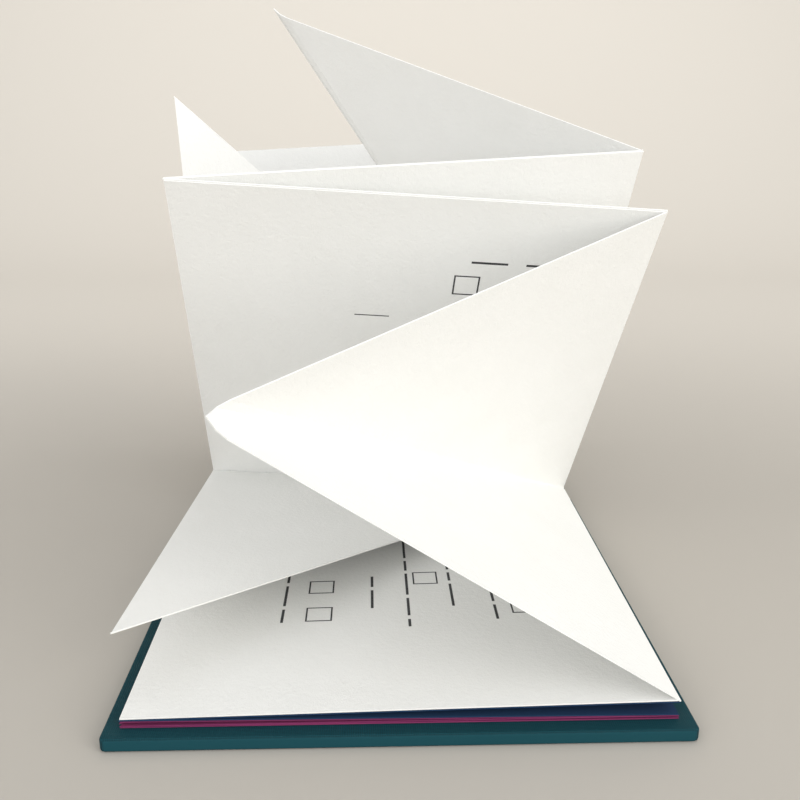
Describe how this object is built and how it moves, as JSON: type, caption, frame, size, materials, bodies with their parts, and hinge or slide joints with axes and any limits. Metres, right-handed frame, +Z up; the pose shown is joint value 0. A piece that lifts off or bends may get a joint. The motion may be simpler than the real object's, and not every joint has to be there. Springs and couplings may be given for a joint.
{
  "type": "artist book",
  "caption": "Hard-cover artist book whose square-folded card sheets unfold into standing, pressed-in pages on an open cloth case.",
  "frame": {"origin": "on the table, at the middle of the back board's underside", "axes": "+Z up, +Y from the pages toward the front board lying flat behind them, +X along the hinges"},
  "size_m": [0.1181, 0.2448, 0.1367],
  "materials": {
    "teal_cloth": "matt book cloth on board",
    "navy_card": "matt coloured card",
    "magenta_card": "matt coloured card",
    "white_card": "matt uncoated card, fine tooth"
  },
  "bodies": {
    "pages_and_back": {"back_board": "teal_cloth", "back_joint_cloth": "teal_cloth", "magenta_sheet": "magenta_card", "navy_sheet": "navy_card", "white_sheet_front": "white_card", "white_sheet_middle": "white_card", "white_sheet_back": "white_card"},
    "spine": {"spine_strip": "teal_cloth", "front_joint_cloth": "teal_cloth"},
    "front_cover": {"front_board": "teal_cloth", "front_pastedown": "navy_card"}
  },
  "joints": [
    {"name": "spine_hinge", "type": "hinge", "parent": "pages_and_back", "child": "spine", "pos_m": [0, 0.0612, 0.00025], "axis": [1, 0, 0], "range_deg": [0, 20]},
    {"name": "cover_hinge", "type": "hinge", "parent": "spine", "child": "front_cover", "pos_m": [0, 0.0822, 0.00025], "axis": [1, 0, 0], "range_deg": [0, 35]}
  ]
}
